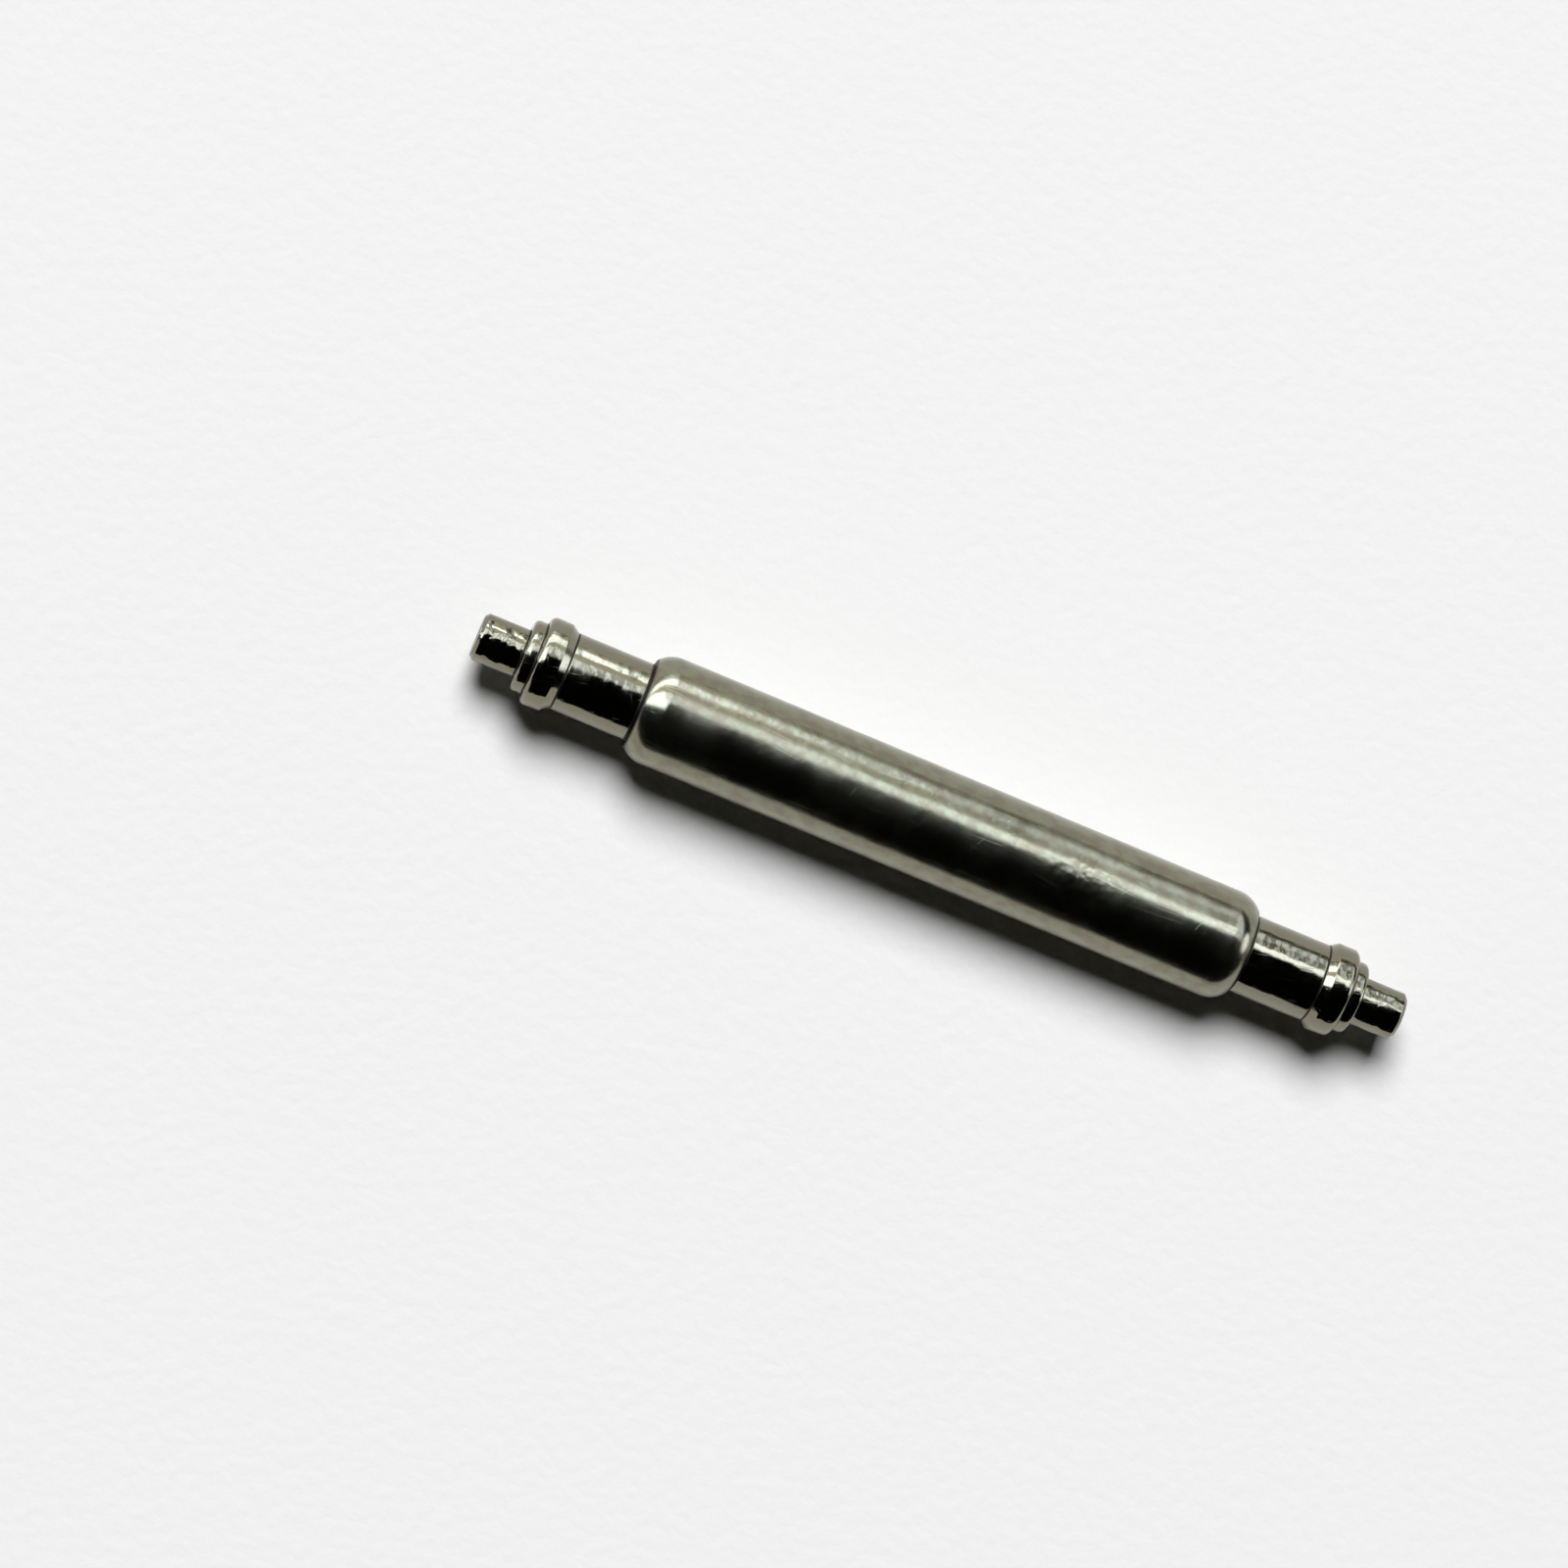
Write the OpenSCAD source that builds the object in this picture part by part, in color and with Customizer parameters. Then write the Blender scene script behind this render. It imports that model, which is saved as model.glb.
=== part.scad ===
// Spring bar for a watch strap: a tube with rolled-in ends that holds two sprung plungers.
// The bar lies along X with its middle at the origin, and +Z is up. All sizes are in millimetres.

/* [Barrel] */
// Outer diameter of the barrel tube, which carries the strap's loop
barrel_d = 2.5; // [2.4:0.05:3]
// Length of the barrel over its rolled-in ends
barrel_l = 14.4; // [13.6:0.1:22]
// Thickness of the tube's wall
barrel_wall = 0.2; // [0.15:0.01:0.24]
// Outside radius of the rolled-in end
roll_r = 0.7; // [0.6:0.02:0.9]
// Width of the flat ring round the mouth
mouth_land = 0.1; // [0.04:0.01:0.2]

/* [Plunger neck and head] */
// Diameter of the neck that slides through the mouth
neck_d = 1.8; // [1.5:0.02:1.84]
// Length of neck that stands out when the plunger is fully out
neck_l = 1.8; // [1:0.05:2.5]
// Length of the head that the rolled-in end holds back
head_l = 2; // [1:0.1:2.6]
// Chamfer on both edges of the head
head_chamfer = 0.08; // [0.04:0.01:0.16]
// Length of the spigot on the head that centres the spring
spigot_l = 0.8; // [0.4:0.1:1.4]

/* [Plunger flange, hub and tip] */
// Diameter of the flange that a spring bar tool pushes on
flange_d = 2.05; // [1.94:0.01:2.4]
// Length of the flange with its cone
flange_l = 0.7; // [0.5:0.05:1.2]
// Length of the cone between neck and flange
cone_l = 0.2; // [0.1:0.01:0.3]
// Rise of that cone
cone_h = 0.12; // [0.06:0.01:0.2]
// Radius on the flange's outer edge
flange_edge = 0.15; // [0.05:0.01:0.2]
// Diameter of the hub between flange and tip
hub_d = 1.65; // [1.4:0.05:1.9]
// Length of the hub
hub_l = 0.3; // [0.2:0.05:0.6]
// Radius on the hub's edge
hub_edge = 0.12; // [0.03:0.01:0.15]
// Diameter of the tip that enters the lug's hole
tip_d = 1.1; // [0.8:0.05:1.3]
// Length of the tip
tip_l = 1.05; // [0.6:0.05:1.6]
// Chamfer on the tip's end
tip_chamfer = 0.08; // [0.02:0.01:0.15]

/* [Spring] */
// Diameter of the spring's wire
wire_d = 0.25; // [0.18:0.01:0.28]
// Turns of wire between the two heads
spring_turns = 14; // [8:1:14]

/* [Clearances] */
// Radial clearance between head and bore
head_gap = 0.02; // [0.01:0.005:0.05]
// Radial clearance between neck and mouth
neck_gap = 0.02; // [0.01:0.005:0.04]
// Gap between the head's edge and the rolled-in end when the plunger is fully out
stop_gap = 0.02; // [0.01:0.005:0.05]
// Radial clearance between spring and bore
spring_gap = 0.1; // [0.05:0.01:0.15]
// Radial clearance between spigot and spring
spigot_gap = 0.15; // [0.05:0.01:0.25]
// Gap between each end of the spring and the head it pushes on
seat_gap = 0.02; // [0.01:0.005:0.05]

/* [Hidden] */
$fn = 96;

// Polished steel, and the duller steel of the spring, with the warm grey that the metal shows
steel = [0.64, 0.63, 0.57];
spring_steel = [0.52, 0.51, 0.47];

// Barrel: each roll is part of a ring of metal, cut off flat at the mouth
half_l = barrel_l / 2;
bore_r = barrel_d / 2 - barrel_wall;
roll_x = barrel_d / 2 - roll_r;
roll_in_r = roll_r - barrel_wall;
mouth_r = neck_d / 2 + neck_gap;
land_r = mouth_r + mouth_land;
roll_y = half_l - sqrt(pow(roll_r, 2) - pow(land_r - roll_x, 2));

// Plunger: places along the bar, measured out from its middle
head_r = bore_r - head_gap;
head_stop = roll_y + sqrt(pow(roll_in_r, 2) - pow(head_r - roll_x, 2));
head_top = head_stop + head_chamfer - stop_gap;
head_base = head_top - head_l;
flange_y = half_l + neck_l;
hub_y = flange_y + flange_l;
tip_y = hub_y + hub_l;

// Spring: the coil's middle line is a helix of even pitch
coil_r = bore_r - spring_gap - wire_d / 2;
spigot_r = coil_r - wire_d / 2 - spigot_gap;
coil_end = head_base - seat_gap - wire_d / 2;
pitch = 2 * coil_end / spring_turns;
turn_rings = 12;
wire_sides = 6;
ring_n = spring_turns * turn_rings;

// Cutting shapes run past the metal by this much
past = 1;

// Half section of a disc of radius r, from y up to y + l, with its upper corner rounded
module rounded_disc(r, y, l, edge) {
    translate([0, y]) square([r - edge, l]);
    translate([0, y]) square([r, l - edge]);
    translate([r - edge, y + l - edge]) circle(edge);
}

// Half section of a rod of radius r, from y up to y + l, with its upper edge chamfered
module chamfered_rod(r, y, l, chamfer) {
    polygon([[0, y], [r, y], [r, y + l - chamfer], [r - chamfer, y + l], [0, y + l]]);
}

// Half section of everything inside the tube's skin of radius r with end rolls of radius roll
module rolled_section(r, roll) {
    translate([0, -roll_y]) square([r, 2 * roll_y]);
    for (side = [-1, 1]) translate([roll_x, side * roll_y]) circle(roll);
}

module barrel_section() {
    difference() {
        intersection() {
            union() {
                rolled_section(barrel_d / 2, roll_r);
                translate([0, -half_l]) square([roll_x, barrel_l]);
            }
            translate([0, -half_l]) square([barrel_d / 2, barrel_l]);
        }
        intersection() {
            rolled_section(bore_r, roll_in_r);
            translate([0, -barrel_l]) square([bore_r, 2 * barrel_l]);
        }
        translate([-past, -half_l - past]) square([mouth_r + past, barrel_l + 2 * past]);
    }
}

module plunger_section() {
    spigot_y = head_base - spigot_l;
    translate([0, spigot_y]) square([spigot_r, spigot_l + head_chamfer]);
    polygon([
        [0, head_base], [head_r - head_chamfer, head_base], [head_r, head_base + head_chamfer],
        [head_r, head_top - head_chamfer], [head_r - head_chamfer, head_top], [0, head_top]
    ]);
    translate([0, head_base + head_chamfer]) square([neck_d / 2, flange_y + cone_l - head_base - head_chamfer]);
    polygon([
        [0, flange_y], [flange_d / 2 - cone_h, flange_y],
        [flange_d / 2, flange_y + cone_l], [0, flange_y + cone_l]
    ]);
    rounded_disc(flange_d / 2, flange_y + cone_l, flange_l - cone_l, flange_edge);
    rounded_disc(hub_d / 2, hub_y - flange_edge, hub_l + flange_edge, hub_edge);
    chamfered_rod(tip_d / 2, tip_y - hub_edge, tip_l + hub_edge, tip_chamfer);
}

// A plunger is one turned piece. This one points along +X.
module plunger() {
    color(steel) rotate([0, 90, 0]) rotate_extrude() plunger_section();
}

module barrel() {
    color(steel) rotate([0, 90, 0]) rotate_extrude() barrel_section();
}

module left_plunger() {
    mirror([1, 0, 0]) plunger();
}

module right_plunger() {
    plunger();
}

// One ring of the wire's skin: its points lie round the helix, square to it
function wire_ring(i) =
    let (
        a = 360 * i / turn_rings,
        middle = [2 * coil_end * i / ring_n - coil_end, coil_r * cos(a), coil_r * sin(a)],
        along = [pitch / (2 * PI * coil_r), -sin(a), cos(a)],
        out = [0, cos(a), sin(a)],
        across = cross(along, out) / norm(along)
    )
    [for (k = [0:wire_sides - 1])
        let (b = 360 * k / wire_sides) middle + wire_d / 2 * (cos(b) * out + sin(b) * across)];

module compression_spring() {
    rings = [for (i = [0:ring_n]) wire_ring(i)];
    // Two triangles close each patch between one ring and the next
    skin = [
        for (i = [0:ring_n - 1], k = [0:wire_sides - 1])
            let (
                a = i * wire_sides + k,
                b = i * wire_sides + (k + 1) % wire_sides,
                c = a + wire_sides,
                d = b + wire_sides
            )
            each [[a, b, d], [a, d, c]]
    ];
    last = ring_n * wire_sides;
    first_cap = [for (k = [1:wire_sides - 2]) [0, k + 1, k]];
    last_cap = [for (k = [1:wire_sides - 2]) [last, last + k, last + k + 1]];
    // The wire's clear space from turn to turn, measured on the points of its skin
    turn_gap = min([
        for (i = [0:ring_n - turn_rings / 2])
            for (j = [i + turn_rings / 2:min(ring_n, i + turn_rings * 3 / 2)])
                for (p = rings[i], q = rings[j]) norm(p - q)
    ]);
    echo(least_gap_between_turns_mm = turn_gap);
    color(spring_steel) polyhedron([for (ring = rings) each ring], concat(skin, first_cap, last_cap));
}

barrel();
left_plunger();
right_plunger();
compression_spring();
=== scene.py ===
import math

import bmesh
import bpy
from mathutils import Matrix, Vector


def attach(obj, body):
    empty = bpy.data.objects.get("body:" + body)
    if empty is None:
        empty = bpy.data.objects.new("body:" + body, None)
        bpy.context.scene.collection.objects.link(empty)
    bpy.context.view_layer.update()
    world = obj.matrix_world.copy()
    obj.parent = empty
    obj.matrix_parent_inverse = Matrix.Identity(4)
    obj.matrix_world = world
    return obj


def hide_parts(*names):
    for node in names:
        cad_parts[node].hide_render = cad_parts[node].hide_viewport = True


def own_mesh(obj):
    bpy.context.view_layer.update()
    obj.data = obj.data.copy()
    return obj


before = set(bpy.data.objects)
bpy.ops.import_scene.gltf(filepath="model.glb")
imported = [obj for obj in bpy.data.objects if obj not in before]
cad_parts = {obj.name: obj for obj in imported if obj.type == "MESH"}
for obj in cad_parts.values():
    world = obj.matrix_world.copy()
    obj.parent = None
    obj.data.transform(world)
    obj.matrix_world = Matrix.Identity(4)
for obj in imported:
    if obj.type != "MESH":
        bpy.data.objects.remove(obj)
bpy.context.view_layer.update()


# Compression spring. The real one is a coil of hard drawn stainless wire, wound on a
# mandrel with its last turn at each end laid against the next, and dropped into the tube
# between the two plungers' heads. Nothing fixes it: it only pushes the heads apart.

# A millimetre in Blender's unit, the metre. Sizes here are in millimetres.
MM = 0.001

# Half of the coil, which goes from the bar's middle to the middle of the last turn's wire.
# That turn is closed, and the pitch eases into it over the closing turns.
COIL_RADIUS = 0.825
WIRE_RADIUS = 0.125
HALF_COIL = 4.736
HALF_TURNS = 7
CLOSED_PITCH = 0.256
CLOSING_TURNS = 0.5
RINGS_PER_TURN = 40
WIRE_SIDES = 14

# The grain that stands for the wire's die lines
GRAIN_SIZE = 0.03
GRAIN_DEPTH = 0.001

WIRE_ROUGHNESS = 0.32
SPRING_STEEL = "#9A988C"
SPRING_STEEL_DARK = "#74726A"

# Where a mix node takes its two colours among its inputs, and where it gives the mixed one
COLOUR_A = 6
COLOUR_B = 7
MIXED = 2


def linear(hex_code):
    """sRGB hex to the linear colour that a shader takes."""
    parts = [int(hex_code[i:i + 2], 16) / 255 for i in (1, 3, 5)]
    return [c / 12.92 if c <= 0.04045 else ((c + 0.055) / 1.055) ** 2.4 for c in parts] + [1.0]


def add_node(tree, kind, inputs=(), **settings):
    """Add one node, set it up, and give its inputs, by order or by name, values or links."""
    made = tree.nodes.new("ShaderNode" + kind)
    for name, value in settings.items():
        setattr(made, name, value)
    given = inputs.items() if isinstance(inputs, dict) else enumerate(inputs)
    for key, value in given:
        if isinstance(value, bpy.types.Node):
            value = value.outputs[0]
        if isinstance(value, bpy.types.NodeSocket):
            tree.links.new(value, made.inputs[key])
        else:
            made.inputs[key].default_value = value
    return made


def new_material(name):
    """An empty material and its node tree."""
    material = bpy.data.materials.new(name)
    material.use_nodes = True
    material.node_tree.nodes.clear()
    return material, material.node_tree


def put_in_scene(name, bm, material, sharp_from=180):
    """Turn a bmesh into an object of one material, sharp where it bends by more degrees."""
    bmesh.ops.recalc_face_normals(bm, faces=bm.faces)
    mesh = bpy.data.meshes.new(name)
    bm.to_mesh(mesh)
    bm.free()
    mesh.materials.append(material)
    mesh.shade_smooth()
    mesh.set_sharp_from_angle(angle=math.radians(sharp_from))
    piece = bpy.data.objects.new(name, mesh)
    bpy.context.scene.collection.objects.link(piece)
    return piece


def place_in_mm(tree, stretch=(1, 1, 1)):
    """The place on the piece in millimetres, times its stretch each way."""
    place = add_node(tree, "TexCoord").outputs["Object"]
    per_metre = [factor / MM for factor in stretch]
    return add_node(tree, "VectorMath", [place, per_metre], operation="MULTIPLY")


# Hard drawn spring wire: a dull grey metal. Its die lines are too fine to show one by one
# on so thin a wire, so a fine grain stands for them and gives it a silky sheen.
drawn_wire, tree = new_material("hard_drawn_spring_wire")
place = place_in_mm(tree)
grain = add_node(tree, "TexNoise", {"Vector": place, "Scale": 1 / GRAIN_SIZE, "Detail": 2})
tone = add_node(tree, "Mix", {
    "Factor": grain, COLOUR_A: linear(SPRING_STEEL_DARK), COLOUR_B: linear(SPRING_STEEL),
}, data_type="RGBA")
grain_bump = add_node(tree, "Bump", {"Height": grain, "Distance": GRAIN_DEPTH * MM})
skin = add_node(tree, "BsdfPrincipled", {
    "Base Color": tone.outputs[MIXED], "Metallic": 1, "Roughness": WIRE_ROUGHNESS,
    "Normal": grain_bump,
})
add_node(tree, "OutputMaterial", [skin])


def coil_place(turn):
    """How far along the bar the wire's middle is, so many turns out from the bar's middle."""
    open_pitch = (HALF_COIL - CLOSED_PITCH) / (HALF_TURNS - 1)
    start = HALF_TURNS - 1 - CLOSING_TURNS / 2
    if turn <= start:
        return open_pitch * turn
    closing = min(turn - start, CLOSING_TURNS)
    closed = turn - start - closing
    closed_by = (open_pitch - CLOSED_PITCH) * closing ** 2 / (2 * CLOSING_TURNS)
    return open_pitch * (start + closing) - closed_by + CLOSED_PITCH * closed


def coil_point(turn, side):
    """The wire's middle, so many turns out from the bar's middle towards one side."""
    angle = 2 * math.pi * turn * side
    round_axis = COIL_RADIUS * math.cos(angle), COIL_RADIUS * math.sin(angle)
    return Vector((side * coil_place(turn), *round_axis))


def half_coil(name, side):
    """One half of the coil, from the bar's middle out to the head on the given side."""
    bm = bmesh.new()
    rings = []
    step = 1 / RINGS_PER_TURN
    for i in range(HALF_TURNS * RINGS_PER_TURN + 1):
        turn = i * step
        middle = coil_point(turn, side)
        ahead = coil_point(turn + step / 2, side)
        behind = coil_point(max(turn - step / 2, 0), side)
        along = (ahead - behind).normalized()
        out = Vector((0, middle.y, middle.z)).normalized()
        out = (out - along * out.dot(along)).normalized()
        across = along.cross(out)
        ring = []
        for k in range(WIRE_SIDES):
            a = 2 * math.pi * k / WIRE_SIDES
            spot = middle + WIRE_RADIUS * (math.cos(a) * out + math.sin(a) * across)
            ring.append(bm.verts.new(spot * MM))
        rings.append(ring)
    for a, b in zip(rings, rings[1:]):
        for k in range(WIRE_SIDES):
            n = (k + 1) % WIRE_SIDES
            bm.faces.new((a[k], a[n], b[n], b[k]))
    bm.faces.new(rings[0])
    bm.faces.new(rings[-1])
    return put_in_scene(name, bm, drawn_wire, sharp_from=50)


left_coil = half_coil("spring_coil_left_half", -1)
right_coil = half_coil("spring_coil_right_half", 1)
for coil, slide in ((left_coil, "left_plunger_slide"), (right_coil, "right_plunger_slide")):
    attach(coil, "spring")
    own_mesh(coil)
    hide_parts("compression_spring")


# Plungers. Each real one is turned on an automatic lathe from one stainless rod: spigot,
# head, neck, flange with its cone, hub and tip. The tube's rolled-in end holds the head
# back, and the flange is what a fitting tool pushes on.
SIDES = 192
FILLET_STEPS = 6

# The section from the spigot outwards: places are distances from the bar's middle, an R is a
# radius, and the groove is at the cone's foot
SPIGOT_END = 4.081
SPIGOT_R = 0.55
HEAD_BASE = 4.881
HEAD_TOP = 6.881
HEAD_R = 1.03
HEAD_CHAMFER = 0.08
NECK_R = 0.9
FLANGE_START = 9.0
CONE_L = 0.2
CONE_FOOT_R = 0.905
FLANGE_R = 1.025
FLANGE_END = 9.7
FLANGE_EDGE = 0.15
HUB_R = 0.825
HUB_END = 10.0
HUB_EDGE = 0.12
TIP_R = 0.55
TIP_END = 11.05
TIP_CHAMFER = 0.08
GROOVE = 0.025

# Radii of the broken edges and of the fillets
BREAK = 0.02
SPIGOT_EDGE = 0.05
SPIGOT_FILLET = 0.03
CONE_EDGE = 0.04
HUB_FILLET = 0.02
TIP_FILLET = 0.015

# A point this far from each end of a straight keeps its shading flat
HOLD = 0.02

# Turning rings, drawn coarser than real ones so that they show: how far apart they are,
# how deep they are in the polish and on the tip's end, and how far in that end starts
RING_SPACING = 0.0357
RING_DEPTH = 0.0002
CUT_RING_DEPTH = 0.004
CUT_EDGE = 0.02

# Dents in the polish, and how many times as deep they are where the pin wears
DENT_SIZE = 0.3125
DENT_DEPTH = 0.01
WORN_DENTS = 5

# Stains: their size, and the noise values at which they start and are full
STAIN_SIZE = 0.625
STAIN_RANGE = (0.35, 0.65)

# Scratches: their depth, and how softly they end, as a difference of noise values
SCRATCH_DEPTH = 0.0007
SCRATCH_EDGE = 0.06

# Roughness of the clean and the stained polish, and what else adds to it
POLISHED = 0.06
STAINED = 0.14
SCRATCH_DULLS = 0.12
DIRT_AND_SHADE_DULLS = 0.4
CUT_DULLS = 0.12

# Old dirt and painted shade, both in one dark colour: how much dirt the rings of the tip's
# end hold, and the corners where shade is painted, which are the tube's mouth and where the
# cone, the hub and the tip start. Each corner is a place in the section and a reach, and
# over this share of the reach the painted shade is full.
CUT_DIRT = 0.55
FULL_SHARE = 0.4
MOUTH_PLACE = 7.23
SHADED_CORNERS = [
    ((MOUTH_PLACE, NECK_R), 0.06),
    ((FLANGE_START, CONE_FOOT_R), 0.035),
    ((FLANGE_END, HUB_R), 0.045),
    ((HUB_END, TIP_R), 0.05),
]

TURNED_STEEL = "#878675"
TURNED_STEEL_DARK = "#7B7664"
# A dark colour for the dirt in the tip's end rings and for painted shade in the corners
DARK_DIRT_AND_SHADE = "#2B271F"

SMOOTH = {"interpolation_type": "SMOOTHSTEP"}


def rounded(corners):
    """A section line through (x, r, fillet) corners, with an arc at each filleted one."""
    line = []
    for i, (x, r, fillet) in enumerate(corners):
        here = Vector((x, r))
        if not fillet or i in (0, len(corners) - 1):
            line.append(here)
            continue
        before = (Vector(corners[i - 1][:2]) - here).normalized()
        after = (Vector(corners[i + 1][:2]) - here).normalized()
        half = before.angle(after) / 2
        reach = fillet / math.tan(half)
        centre = here + (before + after).normalized() * (fillet / math.sin(half))
        first = here + before * reach - centre
        sweep = first.angle_signed(here + after * reach - centre)
        for k in range(FILLET_STEPS + 1):
            turn = Matrix.Rotation(-sweep * k / FILLET_STEPS, 2)
            line.append(centre + turn @ first)
    return line


def hold_edges(line):
    """The line with a point added close to each end of its long straights.

    Smooth shading then bends the light at the fillets only, not along the straights.
    """
    held = [Vector(line[0])]
    for point in line[1:]:
        start, end = held[-1], Vector(point)
        straight = end - start
        if straight.length > 4 * HOLD:
            step = straight.normalized() * HOLD
            held += [start + step, end - step]
        held.append(end)
    return held


def revolve(name, line, material, closed=False):
    """The skin that a section line of (x, r) points sweeps round the bar's axis."""
    bm = bmesh.new()
    rings = []
    angles = [2 * math.pi * k / SIDES for k in range(SIDES)]
    for x, r in hold_edges(line):
        if r == 0:
            rings.append([bm.verts.new((x * MM, 0, 0))])
            continue
        ring = [(x * MM, r * math.cos(a) * MM, r * math.sin(a) * MM) for a in angles]
        rings.append([bm.verts.new(point) for point in ring])
    pairs = list(zip(rings, rings[1:]))
    if closed:
        pairs.append((rings[-1], rings[0]))
    for a, b in pairs:
        for k in range(SIDES):
            n = (k + 1) % SIDES
            if len(a) == 1:
                bm.faces.new((a[0], b[n], b[k]))
            elif len(b) == 1:
                bm.faces.new((a[k], a[n], b[0]))
            else:
                bm.faces.new((a[k], a[n], b[n], b[k]))
    return put_in_scene(name, bm, material, sharp_from=32)


def scratches(tree, turn, length, width, least):
    """Straight dashes of about this length and width, in mm, turned in plan by turn degrees.

    The value is 1 on a scratch and 0 beside it, and a higher least leaves fewer of them.
    """
    turned = add_node(tree, "Mapping", {
        "Vector": add_node(tree, "TexCoord").outputs["Object"],
        "Rotation": (0, 0, math.radians(turn)),
        "Scale": (length * MM, width * MM, width * MM),
    }, vector_type="TEXTURE")
    grain = add_node(tree, "TexNoise", {"Vector": turned, "Scale": 1, "Detail": 0})
    return add_node(tree, "MapRange", [grain, least, least + SCRATCH_EDGE], **SMOOTH)


# Turned and polished stainless: a bright grey, faintly olive mirror that turning rings,
# small dents, old dirt on the tip's end and painted shade in the corners break up.
turned_steel, tree = new_material("turned_and_polished_stainless_rod")
place = place_in_mm(tree)
spot = add_node(tree, "SeparateXYZ", [place])
from_middle = add_node(tree, "Math", [spot.outputs["X"]], operation="ABSOLUTE")
across = place_in_mm(tree, (0, 1, 1))
from_axis = add_node(tree, "VectorMath", [across], operation="LENGTH").outputs["Value"]
# The rings run round the pin, and round the middle of each end face
ring_place = add_node(tree, "Math", [from_middle, from_axis], operation="ADD")
rings = add_node(tree, "TexNoise", {
    "W": ring_place, "Scale": 1 / RING_SPACING, "Detail": 3,
}, noise_dimensions="1D")
# The dents are deeper from the flange outwards, where tools and lugs wear the pin
dents = add_node(tree, "TexNoise", {"Vector": place, "Scale": 1 / DENT_SIZE, "Detail": 1.5})
wear = add_node(tree, "MapRange", [from_middle, FLANGE_START, TIP_END, 1, WORN_DENTS], **SMOOTH)
worn_dents = add_node(tree, "Math", [dents, wear], operation="MULTIPLY")
stains = add_node(tree, "TexNoise", {"Vector": place, "Scale": 1 / STAIN_SIZE, "Detail": 4})
# The tip's end is as the parting tool left it: duller, with rings that show
cut_end = add_node(tree, "MapRange", [
    from_middle, TIP_END - CUT_EDGE, TIP_END - CUT_EDGE / 2,
], **SMOOTH)
cut_rings = add_node(tree, "Math", [rings, cut_end], operation="MULTIPLY")
# Scratches 0.05 mm wide, coarser than real ones so that they show
lengthwise = scratches(tree, turn=12, length=0.8, width=0.05, least=0.73)
crosswise = scratches(tree, turn=-63, length=0.6, width=0.05, least=0.77)
marks = add_node(tree, "Math", [lengthwise, crosswise], operation="MAXIMUM")
section_place = add_node(tree, "CombineXYZ", [from_middle, from_axis])
# Darkening: dirt in the rings of the tip's end, and painted shade round each corner
darkening = add_node(tree, "Math", [cut_rings, CUT_DIRT], operation="MULTIPLY")
for corner, reach in SHADED_CORNERS:
    away = add_node(tree, "VectorMath", [section_place, (*corner, 0)], operation="DISTANCE")
    near = add_node(tree, "MapRange", [
        away.outputs["Value"], reach, reach * FULL_SHARE,
    ], **SMOOTH)
    darkening = add_node(tree, "Math", [darkening, near], operation="MAXIMUM")
tone = add_node(tree, "Mix", {
    "Factor": stains, COLOUR_A: linear(TURNED_STEEL_DARK), COLOUR_B: linear(TURNED_STEEL),
}, data_type="RGBA")
# The dirt and the painted shade darken the tone
darkened_tone = add_node(tree, "Mix", {
    "Factor": darkening, COLOUR_A: tone.outputs[MIXED], COLOUR_B: linear(DARK_DIRT_AND_SHADE),
}, data_type="RGBA")
dulled = add_node(tree, "MapRange", [stains, *STAIN_RANGE, POLISHED, STAINED], **SMOOTH)
for mark, duller in ((marks, SCRATCH_DULLS), (darkening, DIRT_AND_SHADE_DULLS), (cut_end, CUT_DULLS)):
    dulled = add_node(tree, "Math", [mark, duller, dulled], operation="MULTIPLY_ADD")
dent_bump = add_node(tree, "Bump", {"Height": worn_dents, "Distance": DENT_DEPTH * MM})
mark_bump = add_node(tree, "Bump", {
    "Height": marks, "Distance": SCRATCH_DEPTH * MM, "Normal": dent_bump,
}, invert=True)
ring_bump = add_node(tree, "Bump", {
    "Height": rings, "Distance": RING_DEPTH * MM, "Normal": mark_bump,
})
cut_bump = add_node(tree, "Bump", {
    "Height": cut_rings, "Distance": CUT_RING_DEPTH * MM, "Normal": ring_bump,
})
skin = add_node(tree, "BsdfPrincipled", {
    "Base Color": darkened_tone.outputs[MIXED], "Metallic": 1, "Roughness": dulled,
    "Normal": cut_bump,
})
add_node(tree, "OutputMaterial", [skin])


def plunger_line(side):
    """The plunger's section from its spigot out to its tip."""
    corners = [
        (SPIGOT_END, 0, 0),
        (SPIGOT_END, SPIGOT_R, SPIGOT_EDGE),
        (HEAD_BASE, SPIGOT_R, SPIGOT_FILLET),
        (HEAD_BASE, HEAD_R - HEAD_CHAMFER, BREAK),
        (HEAD_BASE + HEAD_CHAMFER, HEAD_R, BREAK),
        (HEAD_TOP - HEAD_CHAMFER, HEAD_R, BREAK),
        (HEAD_TOP, HEAD_R - HEAD_CHAMFER, BREAK),
        (HEAD_TOP, NECK_R, 0),
        (FLANGE_START - GROOVE, NECK_R, 0),
        (FLANGE_START, NECK_R - GROOVE / 2, 0),
        (FLANGE_START + CONE_L, FLANGE_R, CONE_EDGE),
        (FLANGE_END, FLANGE_R, FLANGE_EDGE),
        (FLANGE_END, HUB_R, HUB_FILLET),
        (HUB_END, HUB_R, HUB_EDGE),
        (HUB_END, TIP_R, TIP_FILLET),
        (TIP_END - TIP_CHAMFER, TIP_R, BREAK),
        (TIP_END, TIP_R - TIP_CHAMFER, BREAK),
        (TIP_END, 0, 0),
    ]
    return [(side * x, r) for x, r in rounded(corners)]


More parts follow.
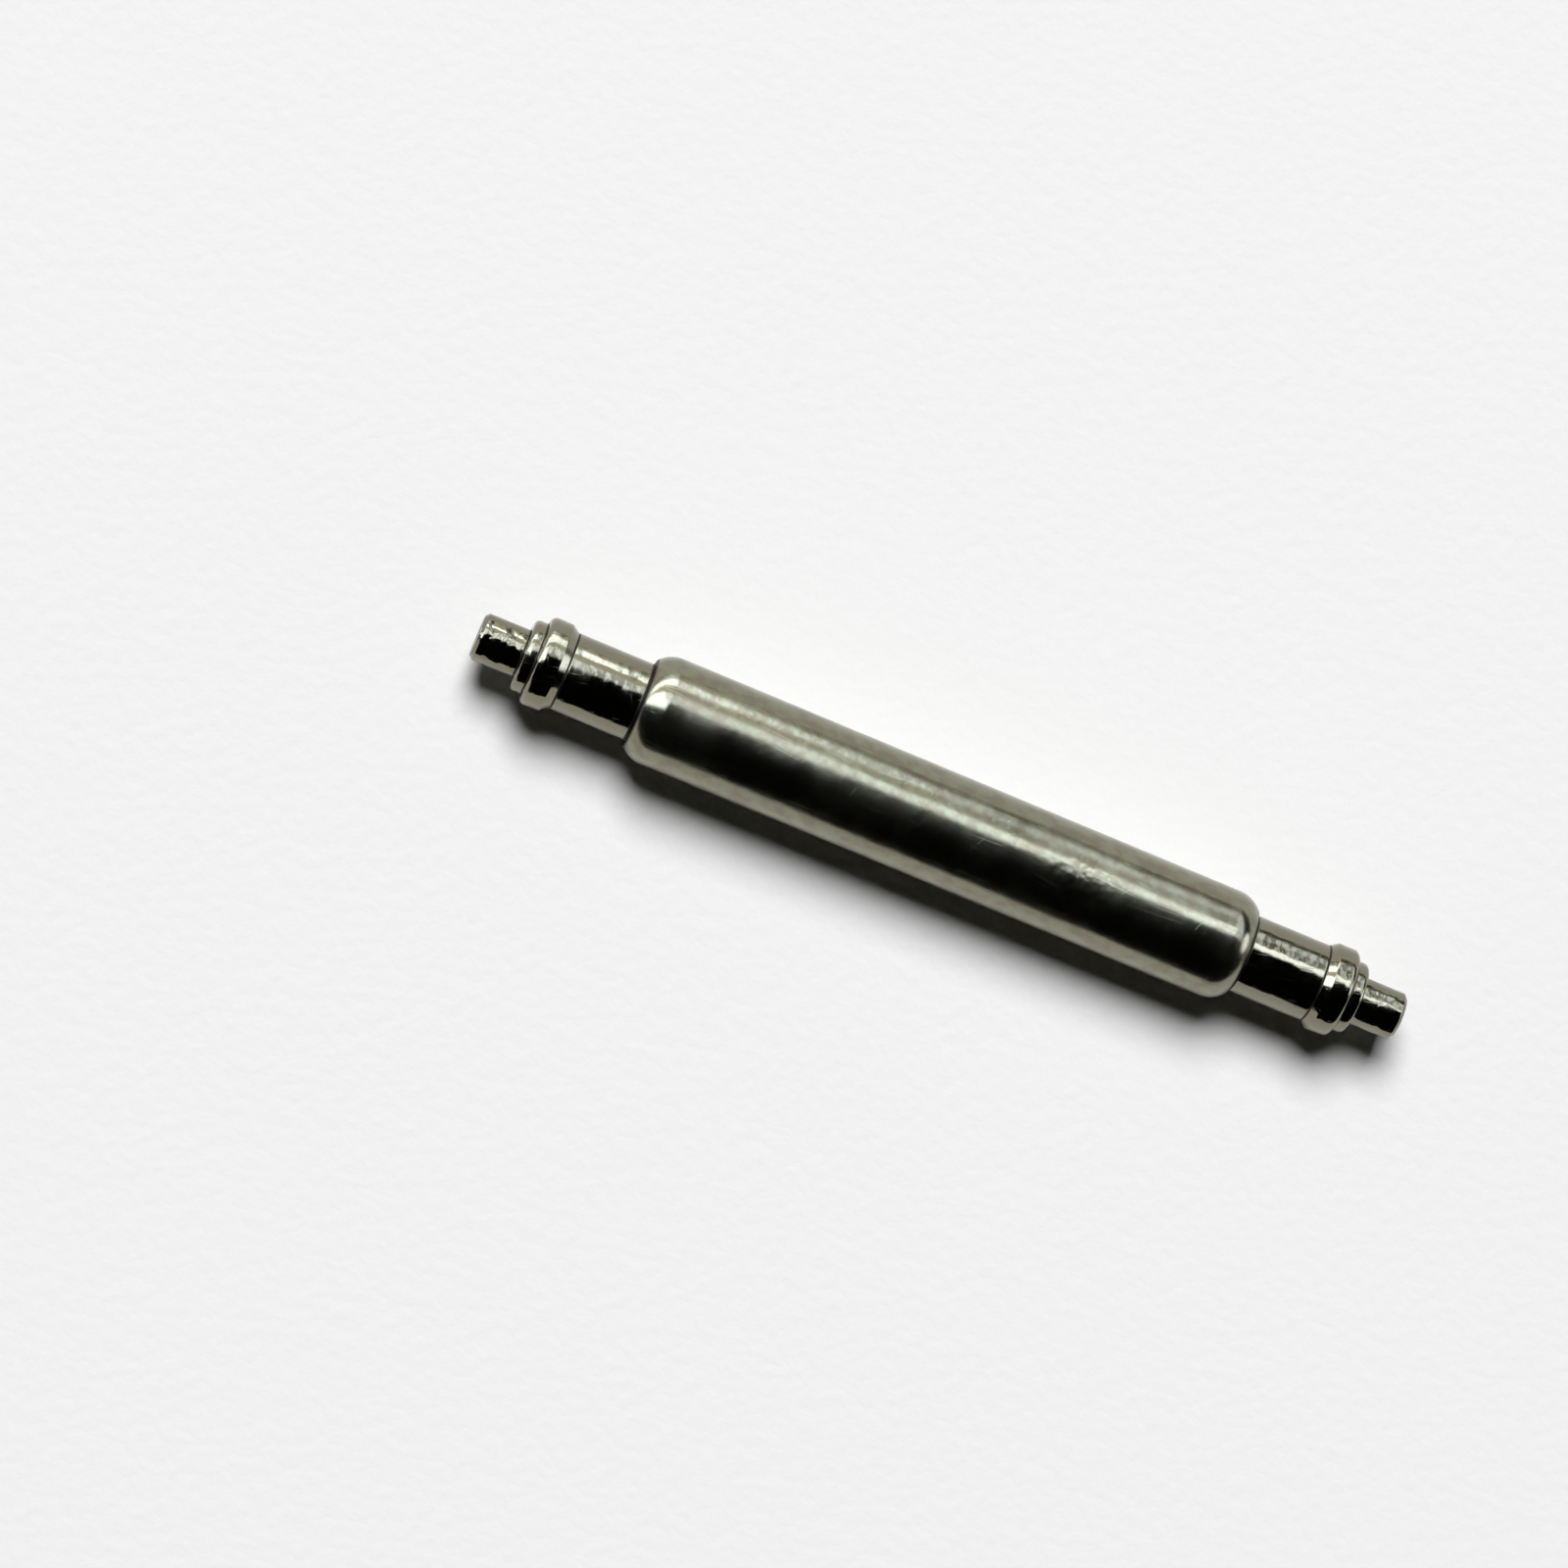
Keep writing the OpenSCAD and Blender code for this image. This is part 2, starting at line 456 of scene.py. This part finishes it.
left_pin = revolve("left_plunger_turned", plunger_line(-1), turned_steel)
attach(left_pin, "left_plunger")
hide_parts("left_plunger")
right_pin = revolve("right_plunger_turned", plunger_line(1), turned_steel)
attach(right_pin, "right_plunger")
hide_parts("right_plunger")


# Barrel. The real one is a piece of thin drawn stainless tube, tumble polished, with its
# ends rolled in round the plungers' necks once spring and plungers are inside. That roll
# is all that holds the bar together.

# The section. The roll starts at its own distance from the bar's middle, and its two circles
# are round one point: the outer goes down to the land, and the inner to the mouth.
BARREL_R = 1.25
BORE_R = 1.05
HALF_BARREL = 7.2
ROLL_START = 6.68125
ROLL_CENTRE_R = 0.55
ROLL_R = 0.7
ROLL_IN_R = 0.5
LAND_R = 1.02
MOUTH_R = 0.92
ROLL_STEPS = 24
TUBE_STEPS = 54

# Patterns per millimetre along and across the tube: drawing lines 0.05 mm apart, coarser
# than real ones, and many millimetres long, and the longer waves that drawing leaves
DRAW_LINES = (0.12, 20, 20)
DRAW_LINE_DEPTH = 0.0003
WAVES = (0.5, 0.9, 0.9)
WAVE_DEPTH = 0.02

# Marks of tumbling: small dents, smears and films of grime, the last two with the noise
# values at which they start and are full
TUMBLE_DENT_SIZE = 0.25
TUMBLE_DENT_DEPTH = 0.003
TUMBLE_SCRATCH_DEPTH = 0.0006
SMEAR_SIZE = 1.11
SMEAR_RANGE = (0.3, 0.7)
GRIME_SIZE = 0.333
GRIME_RANGE = (0.6, 0.38)

# A patch of deeper dents on top, right of the middle: where it is, how far from there it
# ends and is full, and its stretch, which makes it longer than it is wide
DENTED_PLACE = (3.2, 0.05, 1.25)
DENTED_END = 0.85
DENTED_FULL = 0.2
DENTED_STRETCH = (0.6, 1, 1)
DEEP_DENT_SIZE = 0.294
DEEP_DENT_DEPTH = 0.024

# How far from the axis the painted shade round the mouth ends and is full
MOUTH_SHADE_END = 1.07
MOUTH_SHADE_FULL = 1.01

# Roughness of the tumbled polish and of a smear on it, and what else adds to it
TUMBLED = 0.16
SMEARED = 0.23
TUMBLE_SCRATCH_DULLS = 0.05
MOUTH_SHADE_DULLS = 0.3

TUBE_STEEL = "#888875"
TUBE_STEEL_DARK = "#7F7A69"

# Drawn and tumbled stainless: the same grey, a little duller than the turned pins, so that
# it mirrors the room with soft edges. Long drawing lines and small tumbling dents ripple
# the bright streak, and painted shade at the rolled-in mouth draws a dark line round the neck.
polished_tube, tree = new_material("drawn_and_tumble_polished_stainless_tube")
place = place_in_mm(tree)
draw_lines = add_node(tree, "TexNoise", {
    "Vector": place_in_mm(tree, DRAW_LINES), "Scale": 1, "Detail": 2,
})
waves = add_node(tree, "TexNoise", {
    "Vector": place_in_mm(tree, WAVES), "Scale": 1, "Detail": 1,
})
dents = add_node(tree, "TexNoise", {
    "Vector": place, "Scale": 1 / TUMBLE_DENT_SIZE, "Detail": 2,
})
smears = add_node(tree, "TexNoise", {"Vector": place, "Scale": 1 / SMEAR_SIZE, "Detail": 5})
grime = add_node(tree, "TexNoise", {"Vector": place, "Scale": 1 / GRIME_SIZE, "Detail": 6})
# Scratches about 0.05 mm wide along and across, coarser than real ones so that they show
marks = scratches(tree, turn=3, length=2.2, width=0.06, least=0.73)
for other in (
    scratches(tree, turn=-7, length=1.6, width=0.05, least=0.75),
    scratches(tree, turn=68, length=0.7, width=0.05, least=0.78),
):
    marks = add_node(tree, "Math", [marks, other], operation="MAXIMUM")
patch_middle = [along * stretch for along, stretch in zip(DENTED_PLACE, DENTED_STRETCH)]
away = add_node(tree, "VectorMath", [
    place_in_mm(tree, DENTED_STRETCH), patch_middle,
], operation="DISTANCE")
patch = add_node(tree, "MapRange", [
    away.outputs["Value"], DENTED_END, DENTED_FULL,
], **SMOOTH)
deep_grain = add_node(tree, "TexNoise", {
    "Vector": place, "Scale": 1 / DEEP_DENT_SIZE, "Detail": 1,
})
deep_dents = add_node(tree, "Math", [patch, deep_grain], operation="MULTIPLY")
across = place_in_mm(tree, (0, 1, 1))
from_axis = add_node(tree, "VectorMath", [across], operation="LENGTH").outputs["Value"]
# Painted shade round the rolled-in mouth, which is full nearer the axis
darkening = add_node(tree, "MapRange", [from_axis, MOUTH_SHADE_END, MOUTH_SHADE_FULL], **SMOOTH)
grimy = add_node(tree, "MapRange", [grime, *GRIME_RANGE], **SMOOTH)
tone = add_node(tree, "Mix", {
    "Factor": grimy, COLOUR_A: linear(TUBE_STEEL), COLOUR_B: linear(TUBE_STEEL_DARK),
}, data_type="RGBA")
darkened_tone = add_node(tree, "Mix", {
    "Factor": darkening, COLOUR_A: tone.outputs[MIXED], COLOUR_B: linear(DARK_DIRT_AND_SHADE),
}, data_type="RGBA")
dulled = add_node(tree, "MapRange", [smears, *SMEAR_RANGE, TUMBLED, SMEARED], **SMOOTH)
for mark, duller in ((marks, TUMBLE_SCRATCH_DULLS), (darkening, MOUTH_SHADE_DULLS)):
    dulled = add_node(tree, "Math", [mark, duller, dulled], operation="MULTIPLY_ADD")
wave_bump = add_node(tree, "Bump", {"Height": waves, "Distance": WAVE_DEPTH * MM})
dent_bump = add_node(tree, "Bump", {
    "Height": dents, "Distance": TUMBLE_DENT_DEPTH * MM, "Normal": wave_bump,
})
mark_bump = add_node(tree, "Bump", {
    "Height": marks, "Distance": TUMBLE_SCRATCH_DEPTH * MM, "Normal": dent_bump,
}, invert=True)
deep_bump = add_node(tree, "Bump", {
    "Height": deep_dents, "Distance": DEEP_DENT_DEPTH * MM, "Normal": mark_bump,
}, invert=True)
line_bump = add_node(tree, "Bump", {
    "Height": draw_lines, "Distance": DRAW_LINE_DEPTH * MM, "Normal": deep_bump,
})
skin = add_node(tree, "BsdfPrincipled", {
    "Base Color": darkened_tone.outputs[MIXED], "Metallic": 1, "Roughness": dulled,
    "Normal": line_bump,
})
add_node(tree, "OutputMaterial", [skin])


def roll(radius, r_from, r_to):
    """Points on a circle of the right roll, from one distance from the axis to another."""
    first = math.acos((r_from - ROLL_CENTRE_R) / radius)
    last = math.acos((r_to - ROLL_CENTRE_R) / radius)
    angles = [first + (last - first) * k / ROLL_STEPS for k in range(ROLL_STEPS + 1)]
    return [
        (ROLL_START + radius * math.sin(a), ROLL_CENTRE_R + radius * math.cos(a))
        for a in angles
    ]


outside = roll(ROLL_R, BARREL_R, LAND_R)
inside = roll(ROLL_IN_R, BORE_R, MOUTH_R)
along_tube = [ROLL_START * (2 * k / TUBE_STEPS - 1) for k in range(1, TUBE_STEPS)]
barrel_line = [(-x, r) for x, r in reversed(outside)]
barrel_line += [(x, BARREL_R) for x in along_tube]
barrel_line += outside
barrel_line += [(HALF_BARREL, MOUTH_R)]
barrel_line += reversed(inside)
barrel_line += [(-x, r) for x, r in inside]
barrel_line += [(-HALF_BARREL, MOUTH_R)]
tube = revolve("barrel_polished_tube", barrel_line, polished_tube, closed=True)
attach(tube, "barrel")
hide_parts("barrel")


# Floor. The real one is a sheet of smooth white paper that reaches past the picture on
# every side. The bar only lies on it, with its barrel.
FLOOR_HALF = 1500
FIBRE_SIZE = 0.3
FIBRE_DEPTH = 0.016
PAPER_ROUGHNESS = 0.9
PAPER_GLOSS = 0.1
PAPER = "#F8F8F8"

# Smooth white paper: matt and neutral, with a faint tooth of fibres, drawn coarser than
# real ones, that shows best where the light grazes it at the edge of the shadow.
paper, tree = new_material("smooth_white_paper")
place = place_in_mm(tree)
fibres = add_node(tree, "TexNoise", {"Vector": place, "Scale": 1 / FIBRE_SIZE, "Detail": 5})
tooth = add_node(tree, "Bump", {"Height": fibres, "Distance": FIBRE_DEPTH * MM})
skin = add_node(tree, "BsdfPrincipled", {
    "Base Color": linear(PAPER), "Roughness": PAPER_ROUGHNESS,
    "Specular IOR Level": PAPER_GLOSS, "Normal": tooth,
})
add_node(tree, "OutputMaterial", [skin])
bm = bmesh.new()
floor_corners = [
    Vector((x * FLOOR_HALF, y * FLOOR_HALF, -BARREL_R))
    for x, y in ((-1, -1), (1, -1), (1, 1), (-1, 1))
]
bm.faces.new([bm.verts.new(corner * MM) for corner in floor_corners])
floor = put_in_scene("paper_floor", bm, paper)


# Light. A large soft lamp high over the far side lights the paper. The steel mirrors a room:
# a window of two panes on the far side, a small lamp at the right, pale walls, and dark
# above and in front, which gives polished steel its black band.

# The lamp: the way towards it, how many metres away it is, how many degrees wide it looks,
# and its power in watts
LAMP_FROM = (-0.198, 0.491, 0.848)
LAMP_AWAY = 2.0
LAMP_SPREAD = 30
LAMP_POWER = 47

# The pale backdrop that low views show past the paper
BACKDROP = "#FFFFFF"
BACKDROP_LEVEL = 0.93

# The way towards the small lamp, and the colours of daylight and of the walls
SMALL_LAMP_TOWARDS = (0.924, 0.224, 0.309)
WINDOW_LIGHT = "#E8F1FF"
WALL_LIGHT = "#FFFBEA"

# From left to right the window's lintel comes down in two steps, and the bar between its
# panes goes up in one. Each has, in degrees, where it starts and ends and how far the lintel
# or the bar has gone there.
LINTEL_STEPS = ((-6, 4, 4, 20), (6, 34, 0, 20))
BAR_STEP = (8, 14, 0, 4)

# How far the edge of the brightest sky goes to the left for each degree down the window
SKY_SLANT = 0.8


def brightest(tree, areas):
    """The brightest of several lit areas of the room, in each direction.

    An area is its level and then its soft edges: each a value, where the light has ended
    and where it is full.
    """
    shown = 0
    for level, *edges in areas:
        light = 1
        for value, ended, full in edges:
            edge = add_node(tree, "MapRange", [value, ended, full], **SMOOTH)
            light = add_node(tree, "Math", [light, edge], operation="MULTIPLY")
        lit = add_node(tree, "Math", [light, level], operation="MULTIPLY")
        shown = add_node(tree, "Math", [shown, lit], operation="MAXIMUM")
    return shown


soft = bpy.data.lights.new("soft_lamp", "AREA")
soft.shape = "DISK"
soft.size = 2 * LAMP_AWAY * math.tan(math.radians(LAMP_SPREAD / 2))
soft.energy = LAMP_POWER
lamp = bpy.data.objects.new("soft_lamp", soft)
lamp.location = Vector(LAMP_FROM) * LAMP_AWAY
lamp.rotation_euler = Vector(LAMP_FROM).to_track_quat("Z", "Y").to_euler()
# The steel shows the room, not this lamp
lamp.visible_glossy = False
bpy.context.scene.collection.objects.link(lamp)

world = bpy.data.worlds.new("room")
world.use_nodes = True
bpy.context.scene.world = world
# The room doesn't light the paper, only the lamp does
world.cycles_visibility.diffuse = False
tree = world.node_tree
tree.nodes.clear()
direction = add_node(tree, "TexCoord").outputs["Generated"]
to_right, to_far, up = add_node(tree, "SeparateXYZ", [direction]).outputs
# Two angles from straight up, in degrees: towards the right tip and towards the far side
right, far = [
    add_node(tree, "Math", [turned], operation="DEGREES") for turned in (
        add_node(tree, "Math", [to_right, up], operation="ARCTAN2"),
        add_node(tree, "Math", [to_far, up], operation="ARCTAN2"),
    )
]
# Down the window, from the lintel and from the bar
under_lintel = far
for step in LINTEL_STEPS:
    drop = add_node(tree, "MapRange", [right, *step], **SMOOTH)
    under_lintel = add_node(tree, "Math", [under_lintel, drop], operation="SUBTRACT")
bar_rise = add_node(tree, "MapRange", [right, *BAR_STEP], **SMOOTH)
to_bar = add_node(tree, "Math", [far, bar_rise], operation="ADD")
slant = add_node(tree, "Math", [far, SKY_SLANT, right], operation="MULTIPLY_ADD")
away = add_node(tree, "VectorMath", [direction, SMALL_LAMP_TOWARDS], operation="DISTANCE")
from_small_lamp = away.outputs["Value"]

# The soft edges of the window and of what is round it. Far is down in the window, because
# straight up is 0 degrees and the far horizon 90.
below_lintel = (under_lintel, -4, 4)
above_bar = (to_bar, 44, 39)
below_bar = (far, 55, 59)
above_sill = (far, 80, 70)
ends = [(right, -88, -80), (right, 60, 45)]
upper_pane = [below_lintel, above_bar, *ends]
lower_pane = [below_bar, above_sill, *ends]
right_jamb = [(far, 20, 24), (far, 78, 70), *ends]
curtain = [below_lintel, (far, 82, 76), *ends]
wall_below = [(far, 74, 80), *ends]

windows = brightest(tree, [
    # Upper pane: clear sky at its left and at its right, with haze between
    (6.5, *upper_pane, (slant, 17, -2)),
    (4.0, *upper_pane, (to_right, 0.06, 0.048)),
    (5.4, *upper_pane, (right, 2.1, 13.1)),
    (1.25, *upper_pane),
    # Lower pane: the same, but hazier
    (6.5, *lower_pane, (to_right, 0.127, 0.049)),
    (2.6, *lower_pane, (to_right, 0.178, 0.192)),
    (0.85, *lower_pane),
    # The sunlit jamb at the right, and the small lamp
    (2.2, *right_jamb, (to_right, 0.195, 0.206)),
    (4.5, (from_small_lamp, 0.3, 0.15)),
])
walls = brightest(tree, [
    # The curtain behind the panes and the wall below them, both paler at the left
    (1.35, *curtain, (to_right, 0.18, 0.08)),
    (0.4, *curtain),
    (1.3, *wall_below, (to_right, 0.115, 0.075)),
    (0.4, *wall_below),
    # The table's far edge, and the dark room
    (0.475, (up, 0.12, 0.05), (to_far, -0.3, 0.1)),
    (0.002,),
])
past_windows = add_node(tree, "Math", [walls, windows], operation="SUBTRACT")
wall_level = add_node(tree, "Math", [past_windows, 0], operation="MAXIMUM")
bright = add_node(tree, "Background", {"Color": linear(WINDOW_LIGHT), "Strength": windows})
pale = add_node(tree, "Background", {"Color": linear(WALL_LIGHT), "Strength": wall_level})
mirrored = add_node(tree, "AddShader", [bright, pale])
backdrop = add_node(tree, "Background", {
    "Color": linear(BACKDROP), "Strength": BACKDROP_LEVEL,
})
ray = add_node(tree, "LightPath")
seen = add_node(tree, "MixShader", [ray.outputs["Is Camera Ray"], mirrored, backdrop])
add_node(tree, "OutputWorld", [seen])


# Camera. It stands where the fit to the photo puts it: nearly overhead, a little towards
# the left tip, and turned by so many degrees, so that the bar runs down to the right.
EYE = (-16.63, -6.62, 126.87)
AIM = (-3.599, -0.436, 0.0)
TURNED = 87.004
LENS = 133.68
SENSOR = 36

lens = bpy.data.cameras.new("camera")
lens.lens = LENS
lens.sensor_width = SENSOR
lens.clip_start = 0.01
lens.clip_end = 10
camera = bpy.data.objects.new("camera", lens)
camera.location = Vector(EYE) * MM
looking = (Vector(EYE) - Vector(AIM)).to_track_quat("Z", "Y").to_matrix()
roll_of_camera = Matrix.Rotation(math.radians(TURNED), 3, "Z")
camera.rotation_euler = (looking @ roll_of_camera).to_euler()
bpy.context.scene.collection.objects.link(camera)
bpy.context.scene.camera = camera
bpy.context.scene.view_settings.view_transform = "Standard"
